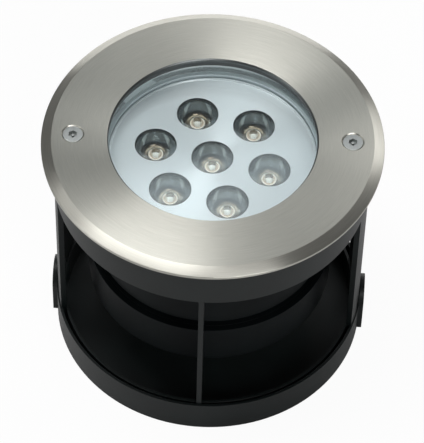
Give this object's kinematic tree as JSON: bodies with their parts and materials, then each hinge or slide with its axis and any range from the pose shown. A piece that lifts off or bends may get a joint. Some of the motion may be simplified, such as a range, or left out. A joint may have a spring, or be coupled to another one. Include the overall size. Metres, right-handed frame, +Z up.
{
  "type": "in ground well light",
  "caption": "Round in-ground light: a sealed LED lamp under a screwed stainless cover ring, hung in an open black mounting sleeve with cable outlets.",
  "frame": {"origin": "centre of the sleeve's foot, on the plane it stands on", "axes": "+Z up, out of the ground; +X through the right cover screw; -Y is the front of the picture"},
  "size_m": [0.18, 0.18, 0.1443],
  "materials": {
    "black_plastic": "moulded black plastic, fine grain",
    "brass": "turned",
    "stainless": "brushed in circles",
    "black_rubber": "matt",
    "screw_steel": "bright",
    "black_casting": "black powder coat",
    "clear_glass": "polished",
    "clear_silicone": "milky silicone",
    "satin_aluminium": "satin",
    "silver_plate": "silver paint, satin",
    "clear_optic": "polished acrylic",
    "holder_plastic": "dark moulded plastic",
    "emitter_cream": "cream ceramic and plastic",
    "dome_silicone": "clear dome over phosphor",
    "board_mask": "white solder mask",
    "thermal_grey": "grey pad",
    "terminal_white": "moulded",
    "lead_red": "insulated lead",
    "driver_case": "moulded case",
    "gland_nylon": "nylon"
  },
  "bodies": {
    "sleeve": {"sleeve_cage": "black_plastic", "sleeve_base_ring": "black_plastic", "threaded_inserts": "brass"},
    "lamp": {"lamp_housing": "black_casting", "driver_chamber": "black_casting", "chamber_seal": "black_rubber", "chamber_screws": "screw_steel", "glass_disc": "clear_glass", "glass_seal": "clear_silicone", "glass_clamp_ring": "satin_aluminium", "clamp_screws": "screw_steel", "trim_sleeve": "satin_aluminium", "led_face_plate": "silver_plate", "led_lenses": "clear_optic", "lens_holders": "holder_plastic", "led_emitters": "emitter_cream", "led_domes": "dome_silicone", "led_board": "board_mask", "board_screws": "screw_steel", "thermal_pad": "thermal_grey", "lead_terminal": "terminal_white", "lead_grommet": "black_rubber", "driver_leads": "lead_red", "driver_module": "driver_case", "driver_plate": "satin_aluminium", "driver_screws": "screw_steel", "gland_body": "gland_nylon", "gland_locknut": "gland_nylon", "gland_washer": "black_rubber", "gland_seal": "black_rubber", "gland_nut": "gland_nylon"},
    "cover": {"cover_ring": "stainless", "cover_gasket": "black_rubber"},
    "left_screw": {"cover_screw_left": "screw_steel"},
    "right_screw": {"cover_screw_right": "screw_steel"}
  },
  "joints": [
    {"name": "lamp_lift", "type": "slide", "parent": "sleeve", "child": "lamp", "axis": [0, 0, 1], "range_m": [0, 0.15]},
    {"name": "cover_lift", "type": "slide", "parent": "lamp", "child": "cover", "axis": [0, 0, 1], "range_m": [0, 0.04]},
    {"name": "left_screw_turn", "type": "hinge", "parent": "cover", "child": "left_screw", "pos_m": [-0.0733, 0, 0.1443], "axis": [0, 0, 1], "continuous": true},
    {"name": "right_screw_turn", "type": "hinge", "parent": "cover", "child": "right_screw", "pos_m": [0.0733, 0, 0.1443], "axis": [0, 0, 1], "continuous": true}
  ]
}
